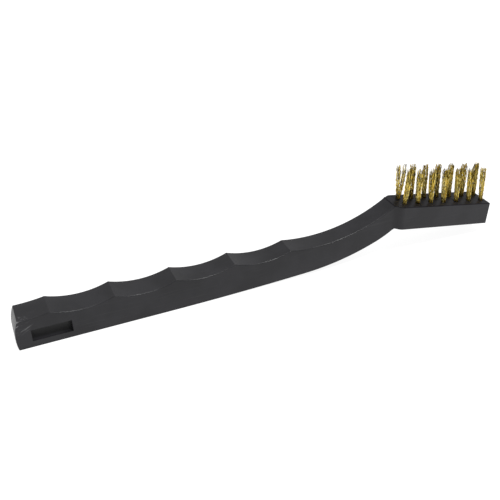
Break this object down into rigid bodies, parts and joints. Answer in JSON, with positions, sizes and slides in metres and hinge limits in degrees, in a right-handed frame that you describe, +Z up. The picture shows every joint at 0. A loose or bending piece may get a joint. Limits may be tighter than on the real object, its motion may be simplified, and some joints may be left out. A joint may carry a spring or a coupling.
{
  "type": "wire brush",
  "caption": "Small hand wire brush: slim moulded plastic handle with finger scallops, a hanging slot and a bent neck, and a tilted block of brass wire tufts for cleaning seams.",
  "frame": {"origin": "under the middle of the overall length and width, on the plane of the handle's flat underside", "axes": "+X along the handle from the butt to the bristle block, +Y across the width, +Z up, the way the bristles point"},
  "size_m": [0.1846, 0.0114, 0.0342],
  "materials": {
    "handle_plastic": "satin moulded",
    "brass_wire": "bright drawn wire",
    "anchor_steel": "plain strip"
  },
  "bodies": {
    "root": {"handle": "handle_plastic", "tuft_right_1": "brass_wire", "anchor_right_1": "anchor_steel", "tuft_right_2": "brass_wire", "anchor_right_2": "anchor_steel", "tuft_right_3": "brass_wire", "anchor_right_3": "anchor_steel", "tuft_right_4": "brass_wire", "anchor_right_4": "anchor_steel", "tuft_right_5": "brass_wire", "anchor_right_5": "anchor_steel", "tuft_right_6": "brass_wire", "anchor_right_6": "anchor_steel", "tuft_right_7": "brass_wire", "anchor_right_7": "anchor_steel", "tuft_left_1": "brass_wire", "anchor_left_1": "anchor_steel", "tuft_left_2": "brass_wire", "anchor_left_2": "anchor_steel", "tuft_left_3": "brass_wire", "anchor_left_3": "anchor_steel", "tuft_left_4": "brass_wire", "anchor_left_4": "anchor_steel", "tuft_left_5": "brass_wire", "anchor_left_5": "anchor_steel", "tuft_left_6": "brass_wire", "anchor_left_6": "anchor_steel", "tuft_left_7": "brass_wire", "anchor_left_7": "anchor_steel"}
  },
  "joints": []
}
